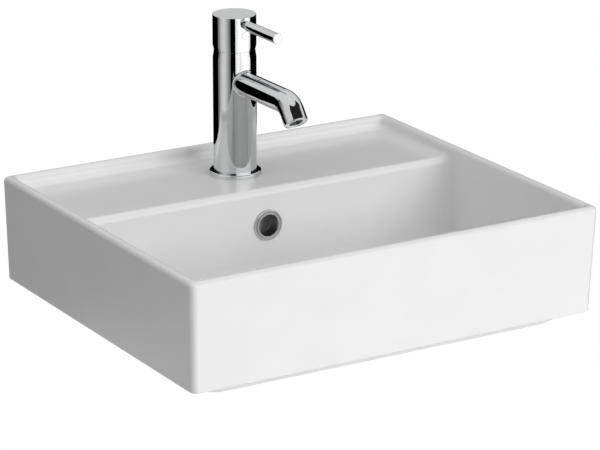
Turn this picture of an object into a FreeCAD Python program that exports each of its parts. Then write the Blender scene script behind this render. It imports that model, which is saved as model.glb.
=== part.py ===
import FreeCAD, Part
import math
import os

# Rectangular wall basin with a sunk tap ledge, a single-lever mixer tap and a push-to-open waste.
# Millimetres. The origin is the middle of the back face, at the height of the wall fixing holes.
# +X is to the right of someone who faces the basin, -Y is the front and +Z is up.

V = FreeCAD.Vector

# ---- basin body ----
basin_width = 450.0
basin_depth = 388.0
skirt_height = 108.5
fixing_below_rim = 58.5
side_lean = 3.0
front_lean = 5.4
front_corner_radius = 6.5
back_corner_radius = 3.2
skirt_edge_radius = 1.5
rim_width = 10.0
rim_outer_radius = 5.0
rim_inner_radius = 4.6

# ---- tap ledge and bowl ----
ledge_recess = 13.0
ledge_depth = 137.5
ledge_thickness = 13.0
ledge_edge_radius = 7.0
ledge_foot_radius = 8.2
tray_corner_radius = 6.0
bowl_front_lean = 3.5
bowl_back_lean = 2.0
bowl_floor_radius = 18.0
bowl_front_corner_radius = 5.0
bowl_side_radius = 8.2
floor_above_skirt = 2.0

# ---- inset base under the bowl ----
base_drop = 12.0
base_side_inset = 26.0
base_front_inset = 26.6
base_flank = 14.0
base_corner_radius = 24.0
base_edge_radius = 2.5

# ---- hollow behind the bowl ----
rear_panel_thickness = 12.0
bowl_rear_wall = 12.0
hollow_side_wall = 12.0
hollow_corner_radius = 12.0
hollow_top_radius = 6.0

# ---- wall fixing holes ----
fixing_spacing = 280.0
fixing_hole_radius = 8.0

# ---- overflow ----
overflow_below_rim = 50.5
overflow_hole_radius = 13.0
channel_width = 36.0
channel_depth = 12.0
channel_front_wall = 15.0
channel_wall = 8.0
channel_above_hole = 4.0
channel_lower_height = 10.0
channel_below_skirt = 14.0
trim_flange_radius = 16.0
trim_flange_thickness = 1.8
trim_step_radius = 13.6
trim_step_thickness = 2.9
trim_bore_radius = 11.2
trim_sleeve_length = 12.0
trim_clearance = 0.2

# ---- waste ----
waste_from_back = 203.0
waste_hole_radius = 23.0
waste_boss_radius = 38.0
dish_radius = 41.0
dish_depth = 1.5
seat_radius = 33.0
seat_depth = 2.5
flange_radius = 31.5
flange_thickness = 1.8
flange_seal_thickness = 1.0
waste_thread_radius = 20.95
waste_bore_radius = 18.0
waste_length = 66.0
waste_tail_length = 15.0
waste_relief_width = 1.5
waste_relief_depth = 0.8
funnel_radius = 23.0
funnel_depth = 5.0
window_width = 12.0
window_height = 9.0
hub_radius = 11.0
hub_height = 8.0
hub_top_depth = 28.0
spider_arm_width = 3.0
lower_gasket_radius = 33.0
lower_gasket_thickness = 4.0
slip_washer_radius = 32.0
slip_washer_thickness = 2.0
back_nut_across_flats = 56.0
back_nut_height = 10.0
nut_thread_clearance = 0.05

# ---- push-to-open plug ----
plug_radius = 21.4
plug_edge_height = 1.8
plug_dome_height = 3.0
plug_edge_radius = 0.8
plug_seat_depth = 1.3
plug_seal_outer_radius = 19.4
plug_seal_inner_radius = 15.0
plug_seal_thickness = 2.0
plug_stem_radius = 2.5
plug_stem_clearance = 0.2
latch_radius = 7.6
latch_bore_radius = 6.2
latch_lid_depth = 12.0
latch_lid_thickness = 1.0
latch_length = 26.0
latch_floor = 2.0
collar_radius = 5.8
collar_depth = 22.5
collar_thickness = 1.5
plug_guide_length = 6.0
spring_mean_radius = 4.6
spring_wire_radius = 0.45
spring_turns = 7

# ---- tap: base and column ----
tap_behind_bowl = 64.0
tap_hole_radius = 17.5
base_ring_radius = 26.8
base_ring_height = 4.6
base_ring_edge_radius = 1.4
base_ring_bore_radius = 18.6
foot_recess_gap = 0.25
foot_height = 1.2
base_gasket_thickness = 0.8
base_gasket_inner_radius = 19.6
base_gasket_outer_radius = 23.6
column_radius = 22.0
column_bore_radius = 18.5
column_bore_height = 62.0
column_waist_depth = 1.4
column_waist_height = 8.0
inlet_side = 8.0
inlet_back = 6.0
inlet_thread_radius = 4.5
inlet_thread_length = 12.0
inlet_passage_radius = 2.8

# ---- tap: mixing cartridge ----
seat_height = 97.5
cartridge_radius = 17.4
cartridge_clearance = 0.1
plate_thickness = 3.0
inlet_port_side = 8.0
inlet_port_front = 3.0
outlet_port_back = 8.0
outlet_port_radius = 3.2
outlet_drop = 4.0
outlet_channel_radius = 3.5
outlet_channel_extra = 1.0
peg_radius = 1.5
peg_length = 2.0
peg_side = 11.0
peg_back = 7.0
peg_clearance = 0.05
seal_width = 1.2
seal_gap = 0.3
seal_thickness = 1.2
fixed_disc_radius = 15.3
fixed_disc_thickness = 3.5
disc_gap = 0.03
moving_disc_radius = 12.0
moving_disc_thickness = 3.47
mixing_pocket_radius = 7.4
mixing_pocket_back = 3.8
mixing_pocket_depth = 1.8
slider_thickness = 4.0
slider_flat = 9.9
ball_radius = 2.4
ball_clearance = 0.1
ball_above_disc = 2.5
stem_arm = 8.0
lift_range_deg = 22.0
housing_wall = 1.9
housing_roof = 3.0
housing_neck_radius = 13.2
housing_neck_bore = 11.0
housing_neck_height = 7.4
rotor_clearance = 0.08
rotor_flange_gap = 0.3
rotor_flange_thickness = 3.2
rotor_rib_height = 3.7
rotor_rib_width = 4.2
rotor_rib_length = 10.0
rotor_guide_clearance = 0.1
slot_margin = 0.8
pivot_pin_radius = 1.5
pivot_pin_half_length = 10.4
pivot_running_clearance = 0.03
stem_width = 8.0
stem_slot_clearance = 0.1
stem_below_pivot = 4.5
stem_neck_radius = 1.8
stem_height_above_pivot = 34.5
ring_nut_radius = 19.0
ring_nut_bore = 13.4
ring_nut_height = 8.4
ring_nut_slot_width = 4.0
ring_nut_slot_depth = 2.0

# ---- tap: handle ----
pivot_below_joint = 12.5
joint_gap = 0.3
cap_radius = 22.0
cap_bore_radius = 20.6
cap_mouth_depth = 0.9
cap_mouth_height = 4.4
cap_height = 35.6
cap_slab_thickness = 15.6
cap_edge_radius = 0.6
cap_boss_radius = 9.0
cap_boss_length = 16.0
stem_socket_clearance = 0.05
stem_socket_extra = 1.0
lever_radius = 5.2
lever_below_top = 7.4
lever_reach = 63.4
lever_neck_radius = 4.0
lever_neck_length = 4.5
lever_shoulder_length = 2.5
lever_thread_radius = 3.0
lever_thread_depth = 8.0
lever_hole_radius = 4.75
lever_hole_depth = 2.5
lever_edge_radius = 0.5
button_radius = 4.0
button_below_lever = 10.8
button_length = 4.5
button_proud = 0.25
button_clearance = 0.05
set_screw_radius = 2.5
set_screw_length = 5.0
set_screw_socket_radius = 1.4
set_screw_socket_depth = 2.5

# ---- tap: spout and aerator ----
spout_height = 99.0
spout_radius = 12.1
spout_bore_radius = 9.5
spout_root_radius = 2.6
spout_straight = 97.5
spout_bend_radius = 20.0
spout_bend_deg = 52.0
spout_end_length = 12.0
spout_lip_radius = 0.6
aerator_recess = 0.5
aerator_radius = 10.7
aerator_clearance = 0.05
aerator_length = 8.0
aerator_lip_radius = 6.8
aerator_lip_thickness = 2.4
insert_radius = 9.2
insert_length = 4.0
insert_hole_radius = 0.75
insert_hole_pitch = 2.3
aerator_washer_thickness = 1.5
aerator_washer_bore = 7.0

# ---- tap: fixing under the ledge ----
stud_radius = 4.0
stud_front = 10.0
stud_in_column = 15.0
stud_below_ledge = 42.0
horseshoe_radius = 25.0
horseshoe_slot_width = 34.0
horseshoe_slot_front = 3.5
horseshoe_gasket_thickness = 3.0
horseshoe_washer_thickness = 2.5
stud_hole_clearance = 0.2
stud_nut_across_flats = 13.0
stud_nut_height = 22.0

# ---- planes and centres that follow from the sizes above ----
rim_z = fixing_below_rim
skirt_z = rim_z - skirt_height
ledge_z = rim_z - ledge_recess
floor_z = skirt_z + floor_above_skirt
base_z = skirt_z - base_drop
front_y = -basin_depth
half_width = basin_width / 2
bowl_half_width = half_width - rim_width
cut_margin = 5.0
overflow_z = rim_z - overflow_below_rim
bowl_wall_height = ledge_z - floor_z
bowl_wall_angle = math.degrees(math.atan2(bowl_back_lean, bowl_wall_height))
overflow_y = -ledge_depth - bowl_back_lean * (ledge_z - overflow_z) / bowl_wall_height
hollow_front_y = -ledge_depth + bowl_rear_wall
channel_front_y = -ledge_depth + channel_front_wall
channel_back_y = channel_front_y + channel_depth
channel_top_z = overflow_z + overflow_hole_radius + channel_above_hole
channel_roof_z = skirt_z - channel_below_skirt
channel_floor_z = channel_roof_z - channel_lower_height
boss_z = channel_floor_z - channel_wall
seat_z = floor_z - dish_depth - seat_depth
waste_top_z = seat_z + flange_seal_thickness + flange_thickness
waste_centre = V(0, -waste_from_back, waste_top_z)
tap_from_back = ledge_depth - tap_behind_bowl
tap_origin = V(0, -tap_from_back, ledge_z)

plate_top = seat_height + plate_thickness
fixed_disc_top = plate_top + fixed_disc_thickness
moving_disc_base = fixed_disc_top + disc_gap
moving_disc_top = moving_disc_base + moving_disc_thickness
slider_top = moving_disc_top + slider_thickness
ball_height = moving_disc_top + ball_above_disc
pivot_height = ball_height + stem_arm
rotor_flange_base = slider_top + rotor_flange_gap
rotor_flange_top = rotor_flange_base + rotor_flange_thickness
housing_roof_base = rotor_flange_top + rotor_clearance
housing_shoulder = housing_roof_base + housing_roof
housing_top = housing_shoulder + housing_neck_height
housing_bore_radius = cartridge_radius - housing_wall
joint_height = pivot_height + pivot_below_joint
cap_base = joint_height + joint_gap
cap_top = cap_base + cap_height
cap_roof = cap_top - cap_slab_thickness
lever_height = cap_top - lever_below_top
button_height = lever_height - button_below_lever
stem_top = pivot_height + stem_height_above_pivot


# ---- building helpers ----
def post(radius, height, at, direction=V(0, 0, 1)):
    """A round post of that height, from the point in the direction."""
    return Part.makeCylinder(radius, height, at, direction)


def collar(outer, inner, height, at, direction=V(0, 0, 1)):
    """A round post with a bore."""
    return post(outer, height, at, direction).cut(post(inner, height, at, direction))


def block(x0, x1, y0, y1, z0, z1):
    """A box between two corners."""
    return Part.makeBox(x1 - x0, y1 - y0, z1 - z0, V(x0, y0, z0))


def turned(outline):
    """A solid turned about +Z from an outline of (radius, height) points and arc middles."""
    edges = []
    start = outline[0]
    for step in outline[1:] + [outline[0]]:
        if len(step) == 4:
            middle = V(step[0], 0, step[1])
            edges.append(Part.Arc(V(start[-2], 0, start[-1]), middle, V(step[2], 0, step[3])).toShape())
        else:
            edges.append(Part.makeLine(V(start[-2], 0, start[-1]), V(step[0], 0, step[1])))
        start = step
    return Part.Face(Part.Wire(edges)).revolve(V(0, 0, 0), V(0, 0, 1), 360)


def arc_to(start, end, bulge):
    """An outline step that bows by bulge, to the left of the way from start to end."""
    dx = end[0] - start[0]
    dz = end[1] - start[1]
    length = math.hypot(dx, dz)
    middle_r = (start[0] + end[0]) / 2 - bulge * dz / length
    middle_z = (start[1] + end[1]) / 2 + bulge * dx / length
    return (middle_r, middle_z, end[0], end[1])


def hexagon(across_flats, height, at):
    """A hexagonal prism standing on a point."""
    corner_radius = across_flats / math.sqrt(3)
    corners = []
    for i in range(7):
        angle = math.radians(60 * i)
        corners.append(at + V(corner_radius * math.cos(angle), corner_radius * math.sin(angle), 0))
    return Part.Face(Part.makePolygon(corners)).extrude(V(0, 0, height))


def rounded_outline(x0, x1, y0, y1, z, front_radius, back_radius):
    """A closed level outline with rounded corners, counter-clockwise from above."""
    corners = [(x1, y0, -90, front_radius), (x1, y1, 0, back_radius),
               (x0, y1, 90, back_radius), (x0, y0, 180, front_radius)]
    arcs = []
    for x, y, start_deg, radius in corners:
        cx = x - radius if x == x1 else x + radius
        cy = y - radius if y == y1 else y + radius
        points = []
        for part_deg in (0, 45, 90):
            angle = math.radians(start_deg + part_deg)
            points.append(V(cx + radius * math.cos(angle), cy + radius * math.sin(angle), z))
        arcs.append(points)
    edges = []
    for i in range(4):
        start, middle, end = arcs[i]
        edges.append(Part.Arc(start, middle, end).toShape())
        edges.append(Part.makeLine(end, arcs[(i + 1) % 4][0]))
    return Part.Wire(edges)


def rectangle(x0, x1, y0, y1, z):
    """The corners of a level rectangle, counter-clockwise from above."""
    return [V(x0, y0, z), V(x1, y0, z), V(x1, y1, z), V(x0, y1, z)]


def flat_sided_block(lower, upper):
    """A solid with flat faces between two level rectangles."""
    faces = [lower[::-1], upper]
    for i in range(4):
        j = (i + 1) % 4
        faces.append([lower[i], lower[j], upper[j], upper[i]])
    shell = Part.makeShell([Part.Face(Part.makePolygon(corners + corners[:1])) for corners in faces])
    solid = Part.makeSolid(shell)
    solid.fix(0.001, 0.001, 0.001)
    return solid


def tapered_block(lower, upper):
    """A solid between two rounded outlines."""
    return Part.makeLoft([lower, upper], True, True)


def edges_where(shape, test):
    """The edges whose middle point passes a test."""
    return [edge for edge in shape.Edges if test(edge.CenterOfMass)]


def rounded(shape, radius, test):
    """Rounds the edges whose middle point passes a test."""
    return shape.makeFillet(radius, edges_where(shape, test))


def rounded_by(shape, radius_of):
    """Rounds all edges in one go, each by the radius that its middle point calls for."""
    document = FreeCAD.newDocument("rounding")
    source = document.addObject("Part::Feature", "source")
    source.Shape = shape
    rounding = document.addObject("Part::Fillet", "rounding")
    rounding.Base = source
    chosen = []
    for number, edge in enumerate(shape.Edges, 1):
        radius = radius_of(edge)
        if radius:
            chosen.append((number, radius, radius))
    rounding.Edges = chosen
    document.recompute()
    result = rounding.Shape.copy()
    FreeCAD.closeDocument(document.Name)
    return result


def near(a, b):
    """Whether two lengths agree to a hundredth of a millimetre."""
    return abs(a - b) < 0.01


def at_tap(shape):
    """Moves a piece from the tap's own place to the ledge."""
    return shape.translated(tap_origin)


def save(node, shape):
    """Writes one piece as its own file."""
    solids = shape.Solids
    if len(solids) == 1:
        shape = solids[0]
    shape.exportStep("parts/" + node + ".step")
    print("%-24s solids %d  volume %10.1f  valid %s" % (node, len(solids), shape.Volume, shape.isValid()))


# ---- basin ----
def outer_body():
    """The skirt with its slight lean, and the inset base below it."""
    upper = rectangle(-half_width, half_width, front_y, 0, rim_z)
    lower = rectangle(-half_width + side_lean, half_width - side_lean, front_y + front_lean, 0, skirt_z)
    skirt = flat_sided_block(lower, upper)

    def radius_of(edge):
        p = edge.CenterOfMass
        if near(p.z, rim_z):
            return rim_outer_radius
        if near(p.z, skirt_z):
            return skirt_edge_radius
        if p.y < front_y / 2:
            return front_corner_radius
        return back_corner_radius

    skirt = rounded_by(skirt, radius_of)
    side = half_width - base_side_inset
    front = front_y + base_front_inset
    foot = rounded_outline(-side, side, front, 0, base_z, base_corner_radius, base_corner_radius)
    shoulder = rounded_outline(-side - base_flank, side + base_flank, front - base_flank, base_flank,
                               skirt_z, base_corner_radius, base_corner_radius)
    base = tapered_block(foot, shoulder)
    base = rounded(base, base_edge_radius, lambda p: near(p.z, base_z))
    base = base.cut(block(-half_width, half_width, hollow_front_y, base_flank, base_z, skirt_z))
    return skirt.fuse(base)


def inner_space():
    """The air inside the rim: the bowl, and the shallow tray over the tap ledge behind it."""
    front = front_y + rim_width
    back = -rim_width
    top = rim_z + cut_margin
    front_top = front - bowl_front_lean * cut_margin / (rim_z - floor_z)
    corners = [V(-bowl_half_width, front_top, top),
               V(-bowl_half_width, front + bowl_front_lean, floor_z),
               V(-bowl_half_width, -ledge_depth - bowl_back_lean, floor_z),
               V(-bowl_half_width, -ledge_depth, ledge_z),
               V(-bowl_half_width, back, ledge_z),
               V(-bowl_half_width, back, top),
               V(-bowl_half_width, front_top, top)]
    space = Part.Face(Part.makePolygon(corners)).extrude(V(2 * bowl_half_width, 0, 0))

    def on_side(p):
        return near(abs(p.x), bowl_half_width)

    space = rounded(space, ledge_edge_radius,
                    lambda p: near(p.y, -ledge_depth) and near(p.z, ledge_z) and not on_side(p))

    def radius_of(edge):
        p = edge.CenterOfMass
        if p.z > rim_z + 0.9 * cut_margin:
            return None
        if not on_side(p):
            if near(p.z, floor_z):
                return bowl_floor_radius
            if near(p.z, ledge_z) and near(p.y, back):
                return ledge_foot_radius
            return None
        if near(p.z, floor_z):
            return bowl_floor_radius
        if p.y < front + bowl_front_lean:
            return bowl_front_corner_radius
        if near(p.y, back):
            return tray_corner_radius
        return bowl_side_radius

    return rounded_by(space, radius_of)


def rear_hollow():
    """The space under the ledge where the tap's fixing and its supply pipes go."""
    side = half_width - hollow_side_wall
    space = block(-side, side, hollow_front_y, -rear_panel_thickness,
                  base_z - cut_margin, ledge_z - ledge_thickness)
    middle_z = (base_z - cut_margin + ledge_z - ledge_thickness) / 2
    space = rounded(space, hollow_corner_radius, lambda p: near(p.z, middle_z))
    return rounded(space, hollow_top_radius, lambda p: near(p.z, ledge_z - ledge_thickness))


def duct_casing():
    """The clay walls round the overflow passage, and the boss round the waste hole."""
    side = channel_width / 2 + channel_wall
    riser = block(-side, side, channel_front_y - channel_wall, channel_back_y + channel_wall,
                  boss_z, channel_top_z + channel_wall)
    run = block(-side, side, -waste_from_back, channel_back_y + channel_wall, boss_z, skirt_z - 1)
    boss = post(waste_boss_radius, skirt_z - 1 - boss_z, V(0, -waste_from_back, boss_z))
    return riser.fuse([run, boss]).removeSplitter()


def duct_passage():
    """The way that overflowing water takes, from the hole in the bowl down to the waste."""
    side = channel_width / 2
    riser = block(-side, side, channel_front_y, channel_back_y, channel_floor_z, channel_top_z)
    run = block(-side, side, -waste_from_back, channel_back_y, channel_floor_z, channel_roof_z)
    return riser.fuse(run)


def overflow_axis():
    """The overflow's axis, square to the bowl's slightly leaning rear wall, out into the bowl."""
    angle = math.radians(bowl_wall_angle)
    return V(0, -math.cos(angle), math.sin(angle))


def overflow_centre():
    """The point where the overflow's axis meets the bowl's rear wall."""
    return V(0, overflow_y, overflow_z)


def basin_ceramic():
    """The glazed body in one piece."""
    body = outer_body().cut(inner_space())
    rim_inner_front = front_y + rim_width

    def is_rim_inner(p):
        inside_x = abs(p.x) < bowl_half_width + 0.1
        inside_y = rim_inner_front - 0.1 < p.y < -rim_width + 0.1
        return near(p.z, rim_z) and inside_x and inside_y

    body = rounded(body, rim_inner_radius, is_rim_inner)
    body = body.cut(rear_hollow()).fuse(duct_casing()).cut(duct_passage())
    drain = post(waste_hole_radius, floor_z - boss_z, V(0, -waste_from_back, boss_z))
    seat = post(seat_radius, floor_z - seat_z, V(0, -waste_from_back, seat_z))
    dish = Part.makeCone(seat_radius, dish_radius, dish_depth,
                         V(0, -waste_from_back, floor_z - dish_depth), V(0, 0, 1))
    overflow = post(overflow_hole_radius, channel_front_wall + 2 * cut_margin,
                    overflow_centre() + overflow_axis() * cut_margin, -overflow_axis())
    tap_hole = post(tap_hole_radius, ledge_thickness + 2 * cut_margin,
                    V(0, -tap_from_back, ledge_z - ledge_thickness - cut_margin))
    cuts = [drain, seat, dish, overflow, tap_hole]
    for side in (-1, 1):
        cuts.append(post(fixing_hole_radius, rear_panel_thickness + 2 * cut_margin,
                         V(side * fixing_spacing / 2, cut_margin, 0), V(0, -1, 0)))
    for cut in cuts:
        body = body.cut(cut)
    return body


def overflow_trim():
    """The stepped chrome ring and its sleeve in the overflow hole."""
    sleeve_radius = overflow_hole_radius - trim_clearance
    edge = trim_flange_thickness / 2
    rim_top = (trim_flange_radius - edge, trim_flange_thickness)
    rim_low = (trim_flange_radius, 0)
    outline = [(trim_bore_radius, -trim_sleeve_length),
               (sleeve_radius, -trim_sleeve_length),
               (sleeve_radius, 0),
               rim_low,
               arc_to(rim_low, rim_top, -0.35),
               (trim_step_radius, trim_flange_thickness),
               (trim_step_radius - 0.4, trim_step_thickness),
               (trim_bore_radius + 0.5, trim_step_thickness),
               (trim_bore_radius, trim_step_thickness - 0.6)]
    ring = turned(outline)
    ring.rotate(V(0, 0, 0), V(1, 0, 0), 90 - bowl_wall_angle)
    return ring.translated(overflow_centre())


# ---- waste ----
def waste_at(depth):
    """A point on the waste's axis, that far below the flange's top."""
    return waste_centre - V(0, 0, depth)


def waste_body():
    """Flanged, threaded brass tube with overflow windows and a spider for the latch."""
    flange_edge = 0.8
    tail_top = -waste_length + waste_tail_length
    relief_radius = waste_thread_radius - waste_relief_depth
    outline = [(waste_bore_radius, -waste_length),
               (waste_thread_radius - 1, -waste_length),
               (waste_thread_radius, -waste_length + 1),
               (waste_thread_radius, tail_top),
               (relief_radius, tail_top),
               (relief_radius, tail_top + waste_relief_width),
               (waste_thread_radius, tail_top + waste_relief_width),
               (waste_thread_radius, -flange_thickness),
               (flange_radius, -flange_thickness),
               (flange_radius, -flange_edge),
               arc_to((flange_radius, -flange_edge), (flange_radius - flange_edge, 0), -0.23),
               (funnel_radius, 0),
               (waste_bore_radius, -funnel_depth)]
    tube = turned(outline)
    window_z = channel_roof_z - waste_top_z
    for angle in (0, 90, 180, 270):
        window = block(-window_width / 2, window_width / 2, 0, waste_thread_radius + 1,
                       window_z - window_height, window_z)
        window.rotate(V(0, 0, 0), V(0, 0, 1), angle)
        tube = tube.cut(window)
    low = -hub_top_depth - hub_height
    spider = post(hub_radius, hub_height, V(0, 0, low))
    reach = (waste_bore_radius + waste_thread_radius) / 2
    for angle in (45, 135):
        arm = block(-reach, reach, -spider_arm_width / 2, spider_arm_width / 2, low, low + hub_height)
        arm.rotate(V(0, 0, 0), V(0, 0, 1), angle)
        spider = spider.fuse(arm)
    spider = spider.cut(post(latch_radius, hub_height, V(0, 0, low)))
    return tube.fuse(spider).removeSplitter().translated(waste_centre)


def waste_flange_seal():
    """Flat rubber ring between the flange and its seat."""
    return collar(flange_radius - 0.5, waste_thread_radius + nut_thread_clearance, flange_seal_thickness,
                  V(0, -waste_from_back, seat_z))


def waste_lower_gasket():
    """Thick rubber ring under the boss."""
    return collar(lower_gasket_radius, waste_thread_radius + nut_thread_clearance, lower_gasket_thickness,
                  V(0, -waste_from_back, boss_z - lower_gasket_thickness))


def waste_slip_washer():
    """Plastic washer that lets the nut turn on the rubber."""
    low = boss_z - lower_gasket_thickness - slip_washer_thickness
    return collar(slip_washer_radius, waste_thread_radius + nut_thread_clearance, slip_washer_thickness,
                  V(0, -waste_from_back, low))


def waste_back_nut():
    """Brass nut that pulls the waste down onto its seat."""
    low = boss_z - lower_gasket_thickness - slip_washer_thickness - back_nut_height
    at = V(0, -waste_from_back, low)
    nut = hexagon(back_nut_across_flats, back_nut_height, at)
    nut = nut.common(Part.makeCone(back_nut_across_flats / 2 + 0.8, back_nut_across_flats / 2 + 6,
                                   back_nut_height, at, V(0, 0, 1)))
    return nut.cut(post(waste_thread_radius + nut_thread_clearance, back_nut_height, at))


def plug_cap():
    """Domed chrome cap that closes the waste."""
    low = -plug_seat_depth
    edge_top = low + plug_edge_height
    disc = post(plug_radius, plug_edge_height + plug_dome_height, V(0, 0, low))
    sphere_radius = (plug_radius ** 2 + plug_dome_height ** 2) / (2 * plug_dome_height)
    dome = Part.makeSphere(sphere_radius, V(0, 0, edge_top + plug_dome_height - sphere_radius))
    cap = disc.common(dome)
    cap = rounded(cap, plug_edge_radius, lambda p: near(p.z, edge_top))
    return cap.translated(waste_centre)


def plug_seal():
    """Rubber ring under the cap."""
    return collar(plug_seal_outer_radius, plug_seal_inner_radius, plug_seal_thickness,
                  waste_at(plug_seat_depth + plug_seal_thickness))


def plug_stem():
    """Spindle from the cap down into the latch barrel, with the collar that the spring lifts."""
    collar_base = collar_depth + collar_thickness
    rod_low = collar_base + plug_guide_length
    rod = post(plug_stem_radius, rod_low - plug_seat_depth, waste_at(rod_low))
    spring_seat = post(collar_radius, collar_thickness, waste_at(collar_base))
    neck = post(plug_seal_inner_radius - 1, plug_seal_thickness, waste_at(plug_seat_depth + plug_seal_thickness))
    return rod.fuse([spring_seat, neck]).removeSplitter()


def click_housing():
    """Barrel of the push latch, screwed through the spider's hub."""
    barrel = post(latch_radius, latch_length, waste_at(latch_lid_depth + latch_length))
    bore_top = latch_lid_depth + latch_lid_thickness
    bore_length = latch_length - latch_lid_thickness - latch_floor
    bore = post(latch_bore_radius, bore_length, waste_at(bore_top + bore_length))
    mouth = post(plug_stem_radius + plug_stem_clearance, latch_lid_thickness * 3,
                 waste_at(bore_top + latch_lid_thickness))
    return barrel.cut(bore).cut(mouth)


def click_spring():
    """Coil spring between the barrel's floor and the stem's collar."""
    floor_depth = latch_lid_depth + latch_length - latch_floor
    seat_depth_below = collar_depth + collar_thickness
    free = floor_depth - seat_depth_below - 2 * spring_wire_radius
    helix = Part.makeHelix(free / spring_turns, free, spring_mean_radius)
    start = helix.Edges[0].valueAt(helix.Edges[0].FirstParameter)
    tangent = helix.Edges[0].tangentAt(helix.Edges[0].FirstParameter)
    section = Part.Wire(Part.makeCircle(spring_wire_radius, start, tangent))
    coil = Part.Wire(helix).makePipeShell([section], True, True)
    return coil.translated(waste_at(floor_depth - spring_wire_radius))


# ---- tap: base and column ----
def tap_base_ring():
    """Chrome ring that the column stands in."""
    recess = column_radius + foot_recess_gap
    shoulder = (base_ring_radius, base_ring_height - base_ring_edge_radius)
    crest = (base_ring_radius - base_ring_edge_radius, base_ring_height)
    outline = [(base_ring_bore_radius, 0),
               (base_gasket_inner_radius, 0),
               (base_gasket_inner_radius, base_gasket_thickness),
               (base_gasket_outer_radius, base_gasket_thickness),
               (base_gasket_outer_radius, 0),
               (base_ring_radius, 0),
               shoulder,
               arc_to(shoulder, crest, -0.29 * base_ring_edge_radius),
               (recess, base_ring_height),
               (recess, foot_height),
               (base_ring_bore_radius, foot_height)]
    return at_tap(turned(outline))


def tap_base_gasket():
    """Rubber ring in the base ring's groove."""
    return at_tap(collar(base_gasket_outer_radius, base_gasket_inner_radius, base_gasket_thickness, V(0, 0, 0)))


def side_points(side_offset, y):
    """A point on each side of the tap's middle."""
    return [V(-side_offset, y, 0), V(side_offset, y, 0)]


def tap_body():
    """Turned and bored brass column."""
    waist_base = joint_height - column_waist_height
    waist_top = (column_radius - column_waist_depth, joint_height)
    outline = [(0, foot_height),
               (column_radius - 0.3, foot_height),
               (column_radius, foot_height + 0.3),
               (column_radius, waist_base),
               waist_top,
               (0, joint_height)]
    body = turned(outline)
    bore_radius = cartridge_radius + cartridge_clearance
    cuts = [post(column_bore_radius, column_bore_height - foot_height, V(0, 0, foot_height)),
            post(bore_radius, joint_height - seat_height, V(0, 0, seat_height)),
            post(ring_nut_radius, joint_height - housing_shoulder, V(0, 0, housing_shoulder)),
            post(stud_radius, stud_in_column, V(0, -stud_front, column_bore_height))]
    for at in side_points(inlet_side, inlet_back):
        cuts.append(post(inlet_thread_radius, inlet_thread_length, at + V(0, 0, column_bore_height)))
        low = at + V(0, 0, column_bore_height + inlet_thread_length - inlet_passage_radius)
        high = V(at.x / inlet_side * inlet_port_side, -inlet_port_front, seat_height)
        cuts.append(post(inlet_passage_radius, (high - low).Length + 1, low, high - low))
    channel_z = seat_height - outlet_drop
    channel_end = outlet_port_back + outlet_port_radius + outlet_channel_extra
    cuts.append(post(outlet_port_radius, outlet_drop, V(0, outlet_port_back, channel_z)))
    cuts.append(post(outlet_channel_radius, channel_end + column_radius, V(0, channel_end, channel_z), V(0, -1, 0)))
    for at in side_points(peg_side, peg_back):
        cuts.append(post(peg_radius + peg_clearance, peg_length + peg_clearance,
                         at + V(0, 0, seat_height - peg_length - peg_clearance)))
    for cut in cuts:
        body = body.cut(cut)
    return at_tap(body)


# ---- tap: spout ----
def spout_path(start_y):
    """The spout's middle line: out to the front, then round a bend and down to the mouth."""
    bend = math.radians(spout_bend_deg)
    start = V(0, start_y, spout_height)
    bend_start = V(0, -spout_straight, spout_height)
    points = []
    for part in (0.5, 1.0):
        angle = bend * part
        points.append(bend_start + V(0, -spout_bend_radius * math.sin(angle),
                                     -spout_bend_radius * (1 - math.cos(angle))))
    bend_end = points[1]
    end = bend_end + spout_direction() * spout_end_length
    edges = [Part.makeLine(start, bend_start),
             Part.Arc(bend_start, points[0], bend_end).toShape(),
             Part.makeLine(bend_end, end)]
    return Part.Wire(edges), end


def spout_direction():
    """The way the water leaves."""
    bend = math.radians(spout_bend_deg)
    return V(0, -math.cos(bend), -math.sin(bend))


def along_spout(radius, start_y):
    """A round solid along the spout's middle line."""
    path, end = spout_path(start_y)
    section = Part.Wire(Part.makeCircle(radius, V(0, start_y, spout_height), V(0, -1, 0)))
    return path.makePipeShell([section], True, True), end


def spout():
    """Bent brass tube with a blended root on the column."""
    column = post(column_radius, 4 * spout_radius, V(0, 0, spout_height - 2 * spout_radius))
    tube, end = along_spout(spout_radius, -column_radius / 2)
    joined = column.fuse(tube)

    def is_root(p):
        return math.hypot(p.y, p.x) < column_radius + 1 and abs(p.z - spout_height) < spout_radius + 1 \
            and p.y < -column_radius / 2 and not near(abs(p.z - spout_height), 2 * spout_radius)

    def root_edge(edge):
        p = edge.CenterOfMass
        box = edge.BoundBox
        level = box.ZMax - box.ZMin < spout_radius
        return is_root(p) and not level and box.YMax - box.YMin > 1

    root_edges = [edge for edge in joined.Edges if root_edge(edge)]
    joined = joined.makeFillet(spout_root_radius, root_edges)
    arm = joined.cut(column)
    arm = max(arm.Solids, key=lambda solid: solid.Volume)
    lip_edges = [edge for edge in arm.Edges if (edge.CenterOfMass - end).Length < 0.5]
    arm = arm.makeFillet(spout_lip_radius, lip_edges)
    bore, end = along_spout(spout_bore_radius, -column_radius / 2)
    arm = arm.cut(bore)
    socket_length = aerator_recess + aerator_length + aerator_washer_thickness
    socket = post(aerator_radius + aerator_clearance, socket_length, end, -spout_direction())
    return at_tap(arm.cut(socket))


def at_mouth(shape, inset):
    """Turns a piece made along +Z so that it points into the spout's mouth, that far in."""
    path, end = spout_path(-column_radius / 2)
    turn = FreeCAD.Rotation(V(0, 0, 1), -spout_direction())
    place = FreeCAD.Placement(end - spout_direction() * inset, turn)
    return at_tap(shape.transformed(place.toMatrix()))


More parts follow.
